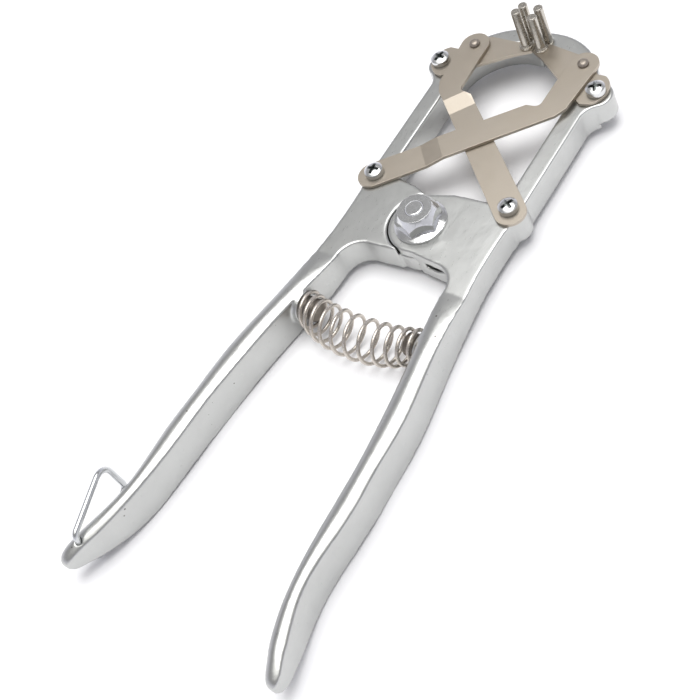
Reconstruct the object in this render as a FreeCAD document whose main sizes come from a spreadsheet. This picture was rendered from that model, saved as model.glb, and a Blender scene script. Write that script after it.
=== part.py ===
import FreeCAD, Part
import math
import os
import re
import Sketcher
from FreeCAD import Placement, Rotation, Vector

# Ring-expander pliers, in millimetres.
# Origin: on the main pivot's axis, level with the underside that the tool lies on.
# +Y runs from the pivot towards the prong head, +X to the right seen from above, +Z up.
# "left" is the -X half and "right" is the +X half, with the prongs pointing up.

doc = FreeCAD.newDocument("RingPliers")

# ---------------------------------------------------------------- driving dimensions

SIZES = {
    # castings, heights
    "casting_low": 1.8, "casting_top": 12.0, "lap_split": 8.4, "lap_gap": 0.1,
    # castings, plan of the head
    "arch_x": 3.85, "arch_y": 57.6, "arch_inner": 18.0, "arch_outer": 24.5, "jaw_gap": 0.3,
    "waist_sag": 1.0, "window_y": 13.3, "window_corner": 6.0,
    "crotch_y": -12.0, "crotch_corner": 8.0, "junction_y": -20.0, "junction_inner": 20.3,
    "hub_radius": 11.0, "hub_gap": 0.3,
    "boss_radius": 5.0, "boss_flare": 0.3, "boss_fillet": 6.0, "lever_boss_radius": 4.8,
    "jaw_boss_low": 4.2, "lever_boss_low": 3.0, "relief_depth": 2.4,
    # handles
    "grip_end": -141.8, "grip_height": 14.2, "grip_crown": 1.1, "right_grip_lean": 1.7,
    # pivots of the linkage
    "jaw_pivot_x": 29.2, "jaw_pivot_y": 60.9, "lever_pivot_x": 25.3, "lever_pivot_y": 12.0,
    "rivet_x": 20.45, "rivet_y": 69.5,
    # sheet parts
    "sheet": 1.1, "sheet_gap": 0.1, "lever_width": 10.0, "joggle_run": 6.0,
    "lever_overrun": 1.0,
    "left_joggle": 48.0, "right_joggle": 16.5, "jaw_plate_end": 6.6,
    # prongs
    "prong_radius": 1.55, "prong_x": 2.86, "front_prong_y": 73.5, "back_prong_y": 77.6,
    "prong_reach": 15.3, "front_left_rise": 1.2, "prong_seat": 6.0,
    "prong_collar_radius": 2.3, "prong_collar": 0.8, "prong_step_radius": 1.95,
    "prong_step": 0.5, "prong_spigot_radius": 0.9, "prong_tip": 0.25,
    # small screws and rivets
    "screw_radius": 1.5, "screw_head_radius": 3.15, "screw_head": 2.6, "screw_length": 9.0,
    "cross_width": 0.9, "cross_length": 4.2, "cross_depth": 1.5,
    "running_gap": 0.05, "rivet_radius": 1.0, "rivet_head_radius": 1.8, "rivet_head": 1.3,
    "rivet_play": 0.65,
    # main pivot
    "bolt_radius": 3.0, "bolt_head_flats": 10.0, "bolt_head": 3.3, "bolt_head_gap": 0.2,
    "bolt_proud": 0.4, "nut_flats": 13.0, "nut_height": 6.9, "nut_flange_radius": 8.5,
    "nut_flange": 1.5, "nut_chamfer": 3.0, "nut_turn": -18.0,
    # spring and its pegs
    "spring_y": -37.5, "spring_height": 7.6, "spring_wire": 0.6, "spring_end_radius": 5.2,
    "spring_swell": 1.4, "spring_bow": 4.0, "spring_turns": 10.5, "spring_end_gap": 0.15,
    "peg_radius": 3.7, "peg_length": 4.6, "peg_stem_radius": 2.0, "peg_seat": 3.5,
    "pad_radius": 5.3, "pad_x": 21.9,
    # wire clip
    "clip_wire": 1.0, "clip_x": 39.0, "clip_inset": 7.8, "clip_reach": 23.8,
    "clip_angle": 109.0, "clip_low": 1.0, "clip_rise": 1.4, "clip_bend": 2.2, "clip_corner": 5.0,
    "clip_hook_top": 9.0, "clip_hook_low": 5.2,
}

sheet = doc.addObject("Spreadsheet::Sheet", "dims")
sheet.Label = "dims"
for row, (alias, size) in enumerate(SIZES.items(), start=1):
    sheet.set(f"A{row}", alias)
    sheet.set(f"B{row}", str(size))
    sheet.setAlias(f"B{row}", alias)
doc.recompute()


def bound(text):
    """Turns an expression on plain size names into one on the sheet's cells."""
    return re.sub(r"[a-z][a-z_]+", lambda m: f"dims.{m[0]}" if m[0] in SIZES else m[0], str(text))


def size(text):
    """The value of an expression on size names, from the sheet."""
    value = sheet.evalExpression(bound(text).replace("dims.", ""))
    return float(getattr(value, "Value", value))


def bind(thing, **expressions):
    """Binds properties to the sheet: a double underscore in a name stands for a dot."""
    for name, text in expressions.items():
        thing.setExpression(name.replace("__", "."), bound(text))
    return thing


# ---------------------------------------------------------------- sketches and primitives


def draw(name, steps, upright=False, close=True):
    """A sketch outline from its corner points, each a pair of expressions.

    A step is (x, y) for a straight run from the point before, or (x, y, radius) for an arc:
    a positive radius turns left on the way to the point, a negative one turns right, and
    a fourth value "long" takes the longer way round.  An upright sketch stands in XZ.
    """
    sketch = doc.addObject("Sketcher::SketchObject", name)
    if upright:
        sketch.Placement = Placement(Vector(), Rotation(Vector(1, 0, 0), 90))
    points = [(size(s[0]), size(s[1])) for s in steps]
    edges = []
    for i in range(len(steps) if close else len(steps) - 1):
        step = steps[(i + 1) % len(steps)]
        ax, ay = points[i]
        bx, by = points[(i + 1) % len(steps)]
        if len(step) == 2:
            line = Part.LineSegment(Vector(ax, ay, 0), Vector(bx, by, 0))
            edges.append((sketch.addGeometry(line), 1, 2, None))
            continue
        radius = size(step[2])
        left, big = radius > 0, len(step) == 4
        radius = abs(radius)
        half = math.hypot(bx - ax, by - ay) / 2
        rise = math.sqrt(max(radius ** 2 - half ** 2, 0.0)) * (1 if left != big else -1)
        cx = (ax + bx) / 2 - (by - ay) / (2 * half) * rise
        cy = (ay + by) / 2 + (bx - ax) / (2 * half) * rise
        start, end = math.atan2(ay - cy, ax - cx), math.atan2(by - cy, bx - cx)
        if not left:
            start, end = end, start
        circle = Part.Circle(Vector(cx, cy, 0), Vector(0, 0, 1), radius)
        end = end if end > start else end + 2 * math.pi
        index = sketch.addGeometry(Part.ArcOfCircle(circle, start, end))
        edges.append((index, 1 if left else 2, 2 if left else 1, step[2]))
    for i, (index, first, last, radius) in enumerate(edges):
        for kind, text in (("DistanceX", steps[i][0]), ("DistanceY", steps[i][1])):
            made = sketch.addConstraint(Sketcher.Constraint(kind, -1, 1, index, first, size(text)))
            sketch.setExpression(f"Constraints[{made}]", bound(text))
        if close or i < len(edges) - 1:
            after = edges[(i + 1) % len(edges)]
            sketch.addConstraint(Sketcher.Constraint("Coincident", index, last, after[0], after[1]))
        if radius is None:
            continue
        here, there = steps[i], steps[(i + 1) % len(steps)]
        chord = [size(there[n]) - size(here[n]) for n in (0, 1)]
        if math.hypot(*chord) > 1.999 * abs(size(radius)):
            # a half circle is fixed by its centre, midway between its ends
            n = 1 if abs(chord[0]) > abs(chord[1]) else 0
            kind, text = ("DistanceX", "DistanceY")[n], f"(({here[n]}) + ({there[n]})) / 2"
            made = sketch.addConstraint(Sketcher.Constraint(kind, -1, 1, index, 3, size(text)))
        else:
            text = f"abs({radius})"
            made = sketch.addConstraint(Sketcher.Constraint("Radius", index, size(text)))
        sketch.setExpression(f"Constraints[{made}]", bound(text))
    return sketch


def extrude(name, outline, low, high):
    """A prism of a flat outline between two heights."""
    outline.setExpression("Placement.Base.z", bound(low))
    prism = doc.addObject("Part::Extrusion", name)
    prism.Base = outline
    prism.DirMode = "Custom"
    prism.Dir = Vector(0, 0, 1)
    prism.Solid = True
    return bind(prism, LengthFwd=f"({high}) - ({low})")


def rod(name, x, y, radius, low, high):
    """An upright cylinder."""
    made = doc.addObject("Part::Cylinder", name)
    return bind(made, Radius=radius, Height=f"({high}) - ({low})",
                Placement__Base__x=x, Placement__Base__y=y, Placement__Base__z=low)


def cone(name, x, y, low_radius, high_radius, low, high):
    """An upright cone, cut off at both heights."""
    made = doc.addObject("Part::Cone", name)
    return bind(made, Radius1=low_radius, Radius2=high_radius, Height=f"({high}) - ({low})",
                Placement__Base__x=x, Placement__Base__y=y, Placement__Base__z=low)


def hexagon(name, flats, low, high, turn=0):
    """An upright hexagonal prism on the pivot's axis, turned by an angle in degrees."""
    outline = doc.addObject("Part::RegularPolygon", name + "_outline")
    outline.Polygon = 6
    outline.Placement = Placement(Vector(), Rotation(Vector(0, 0, 1), turn))
    bind(outline, Circumradius=f"({flats}) / sqrt(3)", Placement__Base__z=low)
    prism = doc.addObject("Part::Extrusion", name)
    prism.Base = outline
    prism.DirMode = "Custom"
    prism.Dir = Vector(0, 0, 1)
    prism.Solid = True
    return bind(prism, LengthFwd=f"({high}) - ({low})")


def fuse(name, *shapes):
    made = doc.addObject("Part::MultiFuse", name)
    made.Shapes = list(shapes)
    made.Refine = True
    return made


def cut(name, base, *tools):
    made = doc.addObject("Part::Cut", name)
    made.Base = base
    made.Tool = tools[0] if len(tools) == 1 else fuse(name + "_tools", *tools)
    made.Refine = True
    return made


def common(name, first, second):
    made = doc.addObject("Part::MultiCommon", name)
    made.Shapes = [first, second]
    return made


nodes = []


def keep(label, feature):
    """Marks a finished sub-part: its label names its file."""
    feature.Label = label
    nodes.append(feature)
    return feature


def mirrored(text, side):
    """An x expression for the right half, turned over for the left half."""
    return text if side > 0 else f"-({text})"


# ---------------------------------------------------------------- castings

CLIP_Y = "(grip_end + clip_inset)"
NUT_TOP = "(casting_top + sheet_gap + nut_height)"
BOLT_END = f"({NUT_TOP} + bolt_proud)"

# Stations along a grip: y, inner x, outer x, underside, top and crown of its cross section.
GRIP = [
    ("junction_y", "junction_inner", "arch_x + arch_outer + 0.1", "casting_low", "casting_top", 0.05),
    (-32, 22.0, 29.6, 0.5, "grip_height - 0.7", "grip_crown * 0.6"),
    (-46, 24.6, 31.9, 0, "grip_height", "grip_crown"),
    ("-46 + (grip_end + 46) * 0.21", 27.5, 34.9, 0, "grip_height", "grip_crown"),
    ("-46 + (grip_end + 46) * 0.42", 29.3, 36.0, 0, "grip_height", "grip_crown"),
    ("-46 + (grip_end + 46) * 0.63", 30.4, 35.9, 0, "grip_height", "grip_crown"),
    ("grip_end + 21.8", 32.3, 37.4, 0.5, "grip_height - 0.1", "grip_crown"),
    ("grip_end + 12.8", 34.6, 40.4, 2.4, "grip_height - 0.5", "grip_crown"),
    ("grip_end + 6.8", 36.9, 42.4, 3.9, "grip_height - 1.2", "grip_crown * 0.9"),
    ("grip_end + 2.8", 38.6, 43.4, 5.2, "grip_height - 2.4", "grip_crown * 0.7"),
    ("grip_end + 0.9", 39.6, 43.1, 6.1, "grip_height - 3.5", "grip_crown * 0.5"),
    ("grip_end", 40.7, 42.4, 7.2, "grip_height - 4.9", "grip_crown * 0.2"),
]


def grip(name, side):
    """A handle: a loft through crowned cross sections."""
    sections = []
    for i, (y, inner, outer, low, top, crown) in enumerate(GRIP):
        width = f"(({outer}) - ({inner}))"
        edge = f"({top}) - ({crown})"
        radius = f"({width} ^ 2 / (8 * ({crown})) + ({crown}) / 2)"
        lean = f"right_grip_lean * (junction_y - ({y})) / (junction_y - grip_end)"
        first, second = (f"({inner}) - {lean}", f"({outer}) - {lean}")
        if side < 0:
            first, second = f"-({outer})", f"-({inner})"
        section = draw(f"{name}_section_{i}",
                       [(first, low), (second, low), (second, edge), (first, edge, radius)], upright=True)
        section.setExpression("Placement.Base.y", bound(y))
        sections.append(section)
    loft = doc.addObject("Part::Loft", name)
    loft.Sections = sections
    loft.Solid = True
    loft.Ruled = False
    return loft


def half_head(name, side):
    """The plan of one half of the head, from the crotch round the arm to the jaw seam."""

    def x(text):
        return mirrored(text, side)

    def turn(text):
        return text if side > 0 else f"-({text})"

    outer, inner = "(arch_x + arch_outer)", "(arch_x + arch_inner)"
    # the fillet under the jaw pivot's boss touches the arm's outer face and the boss
    reach = "(boss_radius + boss_fillet)"
    offset = f"({outer} + boss_fillet - jaw_pivot_x)"
    drop = f"sqrt({reach} ^ 2 - {offset} ^ 2)"
    seam = "jaw_gap / 2"
    waist_half = "(lever_pivot_y - junction_y) / 2"
    waist_radius = f"(({waist_half}) ^ 2 + waist_sag ^ 2) / (2 * waist_sag)"
    if side > 0:
        hub_from = ("hub_radius * sin(11)", "-hub_radius * cos(11)")
        hub_to = ("-hub_radius * sin(10)", "hub_radius * cos(10)")
        crotch_start, window_start = ("8", "crotch_y + 0.5"), ("5", "window_y - 0.5")
    else:
        hub_from = ("hub_radius * sin(13)", "-hub_radius * cos(13)")
        hub_to = ("hub_radius * sin(24)", "hub_radius * cos(24)")
        crotch_start, window_start = ("3.1", "crotch_y + 0.5"), ("9", "window_y - 1.3")
    steps = [
        (x(hub_to[0]), hub_to[1]),
        (x(window_start[0]), window_start[1]),
        (x(f"{inner} - window_corner"), "window_y"),
        (x(inner), "window_y + window_corner", turn("window_corner")),
        (x(inner), "arch_y"),
        (x(seam), f"arch_y + sqrt(arch_inner ^ 2 - (arch_x - {seam}) ^ 2)", turn("arch_inner")),
        (x(seam), f"arch_y + sqrt(arch_outer ^ 2 - (arch_x - {seam}) ^ 2)"),
        (x(outer), "arch_y", turn("-arch_outer")),
        (x(f"jaw_pivot_x + {offset} * boss_radius / {reach}"),
         f"jaw_pivot_y - {drop} * boss_radius / {reach}"),
        (x(outer), f"jaw_pivot_y - {drop}", turn("boss_fillet")),
        (x(outer), "lever_pivot_y"),
        (x(f"{outer} + 0.1"), "junction_y", turn(waist_radius)),
        (x("junction_inner"), "junction_y"),
        (x("junction_inner - crotch_corner"), "junction_y + crotch_corner", turn("crotch_corner")),
        (x(crotch_start[0]), crotch_start[1]),
        (x(hub_from[0]), hub_from[1]),
    ]
    # the hub's rim runs from the crotch round the far side of the pivot to the window
    steps[0] = steps[0] + (turn("-hub_radius"), "long")
    return draw(name, steps)


def casting(label, side):
    """One forged half of the tool: jaw half, arm, hub lobe and grip in one piece."""
    x = mirrored
    head = extrude(f"{label}_head", half_head(f"{label}_plan", side), "casting_low", "casting_top")
    boss = cone(f"{label}_jaw_boss", x("jaw_pivot_x", side), "jaw_pivot_y",
                "boss_radius + boss_flare", "boss_radius", "jaw_boss_low", "casting_top")
    lever_boss = cone(f"{label}_lever_boss", x("lever_pivot_x", side), "lever_pivot_y",
                      "lever_boss_radius + boss_flare", "lever_boss_radius",
                      "lever_boss_low", "casting_top")
    pad = doc.addObject("Part::Cylinder", f"{label}_spring_pad")
    pad.Placement = Placement(Vector(), Rotation(Vector(0, 1, 0), 90 * side))
    bind(pad, Radius="pad_radius", Height="4",
         Placement__Base__x=x("pad_x", side), Placement__Base__y="spring_y",
         Placement__Base__z="spring_height")
    blank = fuse(f"{label}_blank", head, boss, lever_boss, grip(f"{label}_grip", side), pad)

    above = side < 0
    lap_low, lap_high = "casting_low - 1", "lap_split + lap_gap"
    if above:
        lap_low, lap_high = "lap_split", "casting_top + 1"
    lap = rod(f"{label}_lap", 0, 0, "hub_radius + hub_gap", lap_low, lap_high)
    bore = rod(f"{label}_bore", 0, 0, "bolt_radius + running_gap", "casting_low - 1", "casting_top + 1")
    holes = [lap, bore]
    for name in ("jaw", "lever"):
        px, py = f"{name}_pivot_x", f"{name}_pivot_y"
        holes.append(rod(f"{label}_{name}_screw_hole", x(px, side), py, "screw_radius",
                         "casting_top + sheet_gap + sheet - screw_length", "casting_top + 1"))
    holes.append(rod(f"{label}_prong_hole", x("prong_x", side), "back_prong_y", "prong_radius",
                     "casting_top - prong_seat", "casting_top + 1"))
    peg_hole = doc.addObject("Part::Cylinder", f"{label}_peg_hole")
    peg_hole.Placement = Placement(Vector(), Rotation(Vector(0, 1, 0), 90 * side))
    bind(peg_hole, Radius="peg_stem_radius", Height="peg_seat + 1", Placement__Base__x=x("pad_x - 1", side),
         Placement__Base__y="spring_y", Placement__Base__z="spring_height")
    holes.append(peg_hole)
    if side > 0:
        # the lap's relief opens into the crotch beside the lobe and runs out to a point
        relief_top, relief_low = "lap_split + lap_gap", "lap_split + lap_gap - relief_depth"
        relief = doc.addObject("Part::Extrusion", f"{label}_relief")
        relief.Base = draw(f"{label}_relief_plan",
                           [("7", relief_low), ("11", relief_low), ("16.5", relief_top), ("7", relief_top)],
                           upright=True)
        relief.Base.setExpression("Placement.Base.y", bound("crotch_y - 4"))
        relief.DirMode = "Custom"
        relief.Dir = Vector(0, 1, 0)
        relief.Solid = True
        relief.LengthFwd = 9
        holes.append(relief)
    else:
        holes.append(hexagon(f"{label}_bolt_seat", "bolt_head_flats + 2 * bolt_head_gap",
                             "casting_low - 1", "bolt_head"))
        holes.append(rod(f"{label}_clip_hole", "-clip_x", CLIP_Y, "clip_wire + running_gap",
                         "-1", "grip_height + 1"))
    keep(label, cut(label, blank, *holes))


casting("left_casting", -1)
casting("right_casting", 1)

# ---------------------------------------------------------------- main pivot

keep("pivot_bolt", fuse("pivot_bolt",
                        hexagon("pivot_bolt_head", "bolt_head_flats", "0", "bolt_head"),
                        rod("pivot_bolt_shank", 0, 0, "bolt_radius", "bolt_head - 0.5",
                            f"{BOLT_END} - 0.4"),
                        cone("pivot_bolt_end", 0, 0, "bolt_radius", "bolt_radius - 0.4",
                             f"{BOLT_END} - 0.4", BOLT_END)))

nut_body = common("pivot_nut_body",
                  hexagon("pivot_nut_hex", "nut_flats", "casting_top + sheet_gap + 0.5", NUT_TOP,
                          size("nut_turn")),
                  fuse("pivot_nut_round",
                       rod("pivot_nut_round_low", 0, 0, "nut_flats / sqrt(3)", "casting_top",
                           f"{NUT_TOP} - nut_chamfer"),
                       cone("pivot_nut_round_top", 0, 0, "nut_flats / sqrt(3)", "nut_flats / 2 - 1",
                            f"{NUT_TOP} - nut_chamfer", NUT_TOP)))
keep("pivot_nut", cut("pivot_nut",
                      fuse("pivot_nut_blank", nut_body,
                           rod("pivot_nut_rim", 0, 0, "nut_flange_radius", "casting_top + sheet_gap",
                               "casting_top + sheet_gap + 0.6"),
                           cone("pivot_nut_skirt", 0, 0, "nut_flange_radius", "nut_flats / 2",
                                "casting_top + sheet_gap + 0.6", "casting_top + sheet_gap + nut_flange")),
                      rod("pivot_nut_thread", 0, 0, "bolt_radius", "casting_top", f"{NUT_TOP} + 1")))

# ---------------------------------------------------------------- jaw plates and levers

PLATE_LOW = "(casting_top + sheet_gap)"
LEVER_HIGH = "(casting_top + 2 * sheet_gap + sheet)"


def jaw_plate(label, side, crest):
    """The pivoted plate that carries a front prong; crest is its back edge, tip to pivot."""
    x = mirrored
    tip = "jaw_gap / 2"
    # unit vector along the front edge, from the pivot's round end towards the tip
    run_x, run_y = "(jaw_pivot_x - 5)", "(69.4 - jaw_pivot_y + 4.4)"
    length = f"sqrt({run_x} ^ 2 + {run_y} ^ 2)"
    turn = (lambda text: text) if side > 0 else (lambda text: f"-({text})")
    steps = [
        (x(tip, side), "front_prong_y + 1.9"),
        (x(tip, side), "front_prong_y - 1.6"),
        (x("5", side), "69.4"),
        (x(f"jaw_pivot_x - jaw_plate_end * {run_y} / {length}", side),
         f"jaw_pivot_y - jaw_plate_end * {run_x} / {length}"),
        (x("jaw_pivot_x", side), "jaw_pivot_y + jaw_plate_end", turn("jaw_plate_end")),
    ] + [(x(cx, side), cy) for cx, cy in crest]
    blank = extrude(f"{label}_blank", draw(f"{label}_plan", steps), PLATE_LOW, f"{PLATE_LOW} + sheet")
    keep(label, cut(label, blank,
                    rod(f"{label}_pivot_hole", x("jaw_pivot_x", side), "jaw_pivot_y",
                        "screw_radius + running_gap", "casting_top", "casting_top + sheet + 1"),
                    rod(f"{label}_rivet_hole", x("rivet_x", side), "rivet_y", "rivet_radius",
                        "casting_top", "casting_top + sheet + 1"),
                    rod(f"{label}_prong_hole", x("prong_x", side), "front_prong_y", "prong_spigot_radius",
                        "casting_top", "casting_top + sheet + 1")))


jaw_plate("left_jaw_plate", -1, [("26.2", "67.4"), ("20", "73.5"), ("17", "74.9"), ("7.2", "74.6")])
jaw_plate("right_jaw_plate", 1, [("26.2", "67.6"), ("20", "73.4"), ("15", "74.2"), ("5.2", "76")])


def lever(label, side, joggle):
    """A cranked sheet lever from its screw on one casting to its rivet on the far jaw plate.

    side is the side of its riveted end; joggle is where, along the straight arm from the
    screw, the sheet steps up by its own thickness.
    """

    def x(text):
        return mirrored(text, side)

    def turn(text):
        return text if side > 0 else f"-({text})"

    half = "(lever_width / 2)"
    # the arm's lean, from the screw towards the crank, and the unit vector across it
    run_x, run_y = "(lever_pivot_x + 18.3)", "(52 - lever_pivot_y)"
    length = f"sqrt({run_x} ^ 2 + {run_y} ^ 2)"
    across_x, across_y = f"({half} * {run_y} / {length})", f"({half} * {run_x} / {length})"
    # the screw's end of the arm runs on a little past the screw before it rounds off
    end_x, end_y = f"(-lever_pivot_x - lever_overrun * {run_x} / {length})", \
        f"(lever_pivot_y - lever_overrun * {run_y} / {length})"
    steps = [
        (x(f"{end_x} + {across_x}"), f"{end_y} - {across_y}"),
        (x("rivet_x + 1.3"), "47.7"),
        (x("rivet_x + 3.4"), "51.5"),
        (x(f"rivet_x + {half}"), "rivet_y"),
        (x(f"rivet_x - {half}"), "rivet_y", turn(half)),
        # a rounded notch inside the crank, then a shallow hump on to the straight arm
        (x(f"rivet_x - {half} - 0.4"), "51.9"),
        (x(f"rivet_x - {half} - 2.2"), "49.9", turn("-2")),
        (x("rivet_x - 10"), "49.7"),
        (x(f"{end_x} - {across_x}"), f"{end_y} + {across_y}"),
    ]
    steps[0] = steps[0] + (turn(half),)
    blank = extrude(f"{label}_blank", draw(f"{label}_plan", steps), "casting_top", "casting_top + 5")

    # side view of the joggled strip, drawn along the arm from the screw
    rise = "(sheet + sheet_gap)"
    low, high = PLATE_LOW, LEVER_HIGH
    strip = draw(f"{label}_strip_plan", [
        ("-lever_width", low), (joggle, low), (f"{joggle} + joggle_run", high), ("95", high),
        ("95", f"{high} + sheet"), (f"{joggle} + joggle_run - 0.2", f"{high} + sheet"),
        (f"{joggle} - 0.2", f"{low} + sheet"), ("-lever_width", f"{low} + sheet")], upright=True)
    band = doc.addObject("Part::Extrusion", f"{label}_strip")
    band.Base = strip
    band.DirMode = "Custom"
    band.Solid = True
    band.Symmetric = True
    band.LengthFwd = 120
    lean = math.degrees(math.atan2(size(run_y), size(run_x)))
    angle = lean if side > 0 else 180 - lean
    across = Vector(-math.sin(math.radians(angle)), math.cos(math.radians(angle)), 0)
    band.Dir = across
    strip.Placement = Placement(Vector(), Rotation(Vector(0, 0, 1), angle) * Rotation(Vector(1, 0, 0), 90))
    bind(strip, Placement__Base__x=x("-lever_pivot_x"), Placement__Base__y="lever_pivot_y")
    keep(label, cut(label, common(f"{label}_bent", blank, band),
                    rod(f"{label}_screw_hole", x("-lever_pivot_x"), "lever_pivot_y",
                        "screw_radius + running_gap", "casting_top", "casting_top + 6"),
                    rod(f"{label}_rivet_hole", x("rivet_x"), "rivet_y", "rivet_radius + rivet_play",
                        "casting_top", "casting_top + 6")))


lever("left_lever", -1, "left_joggle")
lever("right_lever", 1, "right_joggle")

# ---------------------------------------------------------------- screws, rivets and prongs


def pan_screw(label, px, py):
    """A cross-recessed pan head screw, with its head a running gap above the sheet."""
    seat = "(casting_top + sheet_gap + sheet + running_gap)"
    low = f"({seat} - screw_length - running_gap)"
    top = f"({seat} + screw_head)"
    blank = fuse(f"{label}_blank",
                 rod(f"{label}_shank", px, py, "screw_radius", low, f"{seat} + 0.2"),
                 rod(f"{label}_rim", px, py, "screw_head_radius", seat, f"{seat} + screw_head * 0.6"),
                 cone(f"{label}_crown", px, py, "screw_head_radius", "screw_head_radius * 0.76",
                      f"{seat} + screw_head * 0.6", top))
    slots = []
    for i, (long, wide) in enumerate((("cross_length", "cross_width"), ("cross_width", "cross_length"))):
        slot = doc.addObject("Part::Box", f"{label}_slot_{i}")
        slots.append(bind(slot, Length=long, Width=wide, Height="cross_depth + 1",
                          Placement__Base__x=f"({px}) - {long} / 2",
                          Placement__Base__y=f"({py}) - {wide} / 2",
                          Placement__Base__z=f"{top} - cross_depth"))
    keep(label, cut(label, blank, *slots))


pan_screw("left_jaw_screw", "-jaw_pivot_x", "jaw_pivot_y")
pan_screw("right_jaw_screw", "jaw_pivot_x", "jaw_pivot_y")
pan_screw("left_lever_screw", "-lever_pivot_x", "lever_pivot_y")
pan_screw("right_lever_screw", "lever_pivot_x", "lever_pivot_y")


def jaw_rivet(label, px):
    """A rivet set in the jaw plate; its head stands over the lever's loose hole."""
    head = f"({LEVER_HIGH} + sheet + sheet_gap)"
    keep(label, fuse(label,
                     rod(f"{label}_shank", px, "rivet_y", "rivet_radius", PLATE_LOW, f"{head} + 0.2"),
                     rod(f"{label}_head", px, "rivet_y", "rivet_head_radius", head,
                         f"{head} + rivet_head * 0.5"),
                     cone(f"{label}_dome", px, "rivet_y", "rivet_head_radius", "rivet_head_radius * 0.5",
                          f"{head} + rivet_head * 0.5", f"{head} + rivet_head")))


jaw_rivet("left_jaw_rivet", "-rivet_x")
jaw_rivet("right_jaw_rivet", "rivet_x")

PRONG_TOP = "(casting_top + prong_reach)"


def back_prong(label, px):
    """A plain pin pressed into the jaw half."""
    keep(label, fuse(label,
                     rod(f"{label}_pin", px, "back_prong_y", "prong_radius", "casting_top - prong_seat",
                         f"{PRONG_TOP} - prong_tip"),
                     cone(f"{label}_tip", px, "back_prong_y", "prong_radius", "prong_radius - prong_tip",
                          f"{PRONG_TOP} - prong_tip", PRONG_TOP)))


def front_prong(label, px, rise):
    """A shouldered pin riveted into the jaw plate, standing over the back prongs by rise."""
    seat, top = f"({PLATE_LOW} + sheet)", f"({PRONG_TOP} + {rise})"
    keep(label, fuse(label,
                     rod(f"{label}_spigot", px, "front_prong_y", "prong_spigot_radius", PLATE_LOW,
                         f"{seat} + 0.2"),
                     rod(f"{label}_collar", px, "front_prong_y", "prong_collar_radius", seat,
                         f"{seat} + prong_collar"),
                     rod(f"{label}_step", px, "front_prong_y", "prong_step_radius", seat,
                         f"{seat} + prong_collar + prong_step"),
                     rod(f"{label}_pin", px, "front_prong_y", "prong_radius", f"{seat} + 0.1",
                         f"{top} - prong_tip"),
                     cone(f"{label}_tip", px, "front_prong_y", "prong_radius", "prong_radius - prong_tip",
                          f"{top} - prong_tip", top)))


back_prong("back_left_prong", "-prong_x")
back_prong("back_right_prong", "prong_x")
front_prong("front_left_prong", "-prong_x", "front_left_rise")
front_prong("front_right_prong", "prong_x", "0")

# ---------------------------------------------------------------- spring and pegs


def spring_peg(label, side):
    """A mushroom peg pressed into the grip's pad, inside the spring's end turns."""
    parts = []
    for name, radius, start, end in (("stem", "peg_stem_radius", "-peg_seat", "peg_length - 0.5"),
                                     ("head", "peg_radius", "0", "peg_length")):
        made = doc.addObject("Part::Cylinder", f"{label}_{name}")
        made.Placement = Placement(Vector(), Rotation(Vector(0, 1, 0), -90 * side))
        parts.append(bind(made, Radius=radius, Height=f"({end}) - ({start})",
                          Placement__Base__x=mirrored(f"pad_x - ({start})", side),
                          Placement__Base__y="spring_y", Placement__Base__z="spring_height"))
    keep(label, fuse(label, *parts))


spring_peg("left_spring_peg", -1)
spring_peg("right_spring_peg", 1)


def spring_wire_path():
    """Points round the barrel coil, which bows away from the pivot in the middle."""
    half = size("pad_x - spring_wire - spring_end_gap")
    turns, steps = size("spring_turns"), 16
    points = []
    for i in range(int(turns * steps) + 1):
        along = i / (turns * steps)
        angle = 2 * math.pi * turns * along
        middle = math.sin(math.pi * along)
        radius = size("spring_end_radius") + size("spring_swell") * middle
        # the end turns close up against the pads
        x = half * (2 * along - 1)
        points.append(Vector(x, size("spring_y") - size("spring_bow") * middle + radius * math.cos(angle),
                             size("spring_height") + radius * math.sin(angle)))
    return points


path = Part.BSplineCurve()
spring_points = spring_wire_path()
path.interpolate(spring_points)
spring_path = Part.Wire([path.toShape()])
start_direction = path.tangent(path.FirstParameter)[0]
section = Part.Wire([Part.Circle(spring_points[0], start_direction, size("spring_wire")).toShape()])
main_spring = doc.addObject("Part::Feature", "main_spring")
main_spring.Shape = spring_path.makePipeShell([section], True, True)
keep("main_spring", main_spring)
print("spring: volume over section times length",
      round(main_spring.Shape.Volume / (math.pi * size("spring_wire") ** 2 * spring_path.Length), 4))

# ---------------------------------------------------------------- wire clip


def clip_wire_path():
    """The bail: a hook down into the grip, a leg out, the crossbar down, and back under."""
    px, py = -size("clip_x"), size(CLIP_Y)
    angle = math.radians(size("clip_angle"))
    out = Vector(math.cos(angle), math.sin(angle), 0)
    reach, low, high = size("clip_reach"), size("clip_low"), size("grip_height + clip_rise")
    foot = Vector(px, py, 0)
    corners = [foot + Vector(0, 0, size("clip_hook_top")), foot + Vector(0, 0, high),
               foot + out * reach + Vector(0, 0, high), foot + out * reach + Vector(0, 0, low),
               foot + Vector(0, 0, low), foot + Vector(0, 0, size("clip_hook_low"))]
    return corners


def rounded_wire(corners, bends):
    """Straight runs joined by tangent arcs, with a bend radius for each inner corner."""
    edges, here = [], corners[0]
    for i in range(1, len(corners) - 1):
        before = (corners[i - 1] - corners[i]).normalize()
        after = (corners[i + 1] - corners[i]).normalize()
        half, bend = before.getAngle(after) / 2, bends[i - 1]
        back = bend / math.tan(half)
        start, end = corners[i] + before * back, corners[i] + after * back
        middle = corners[i] + (before + after).normalize() * (bend / math.sin(half) - bend)
        edges += [Part.LineSegment(here, start).toShape(), Part.Arc(start, middle, end).toShape()]
        here = end
    edges.append(Part.LineSegment(here, corners[-1]).toShape())
    return Part.Wire(edges)


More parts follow.
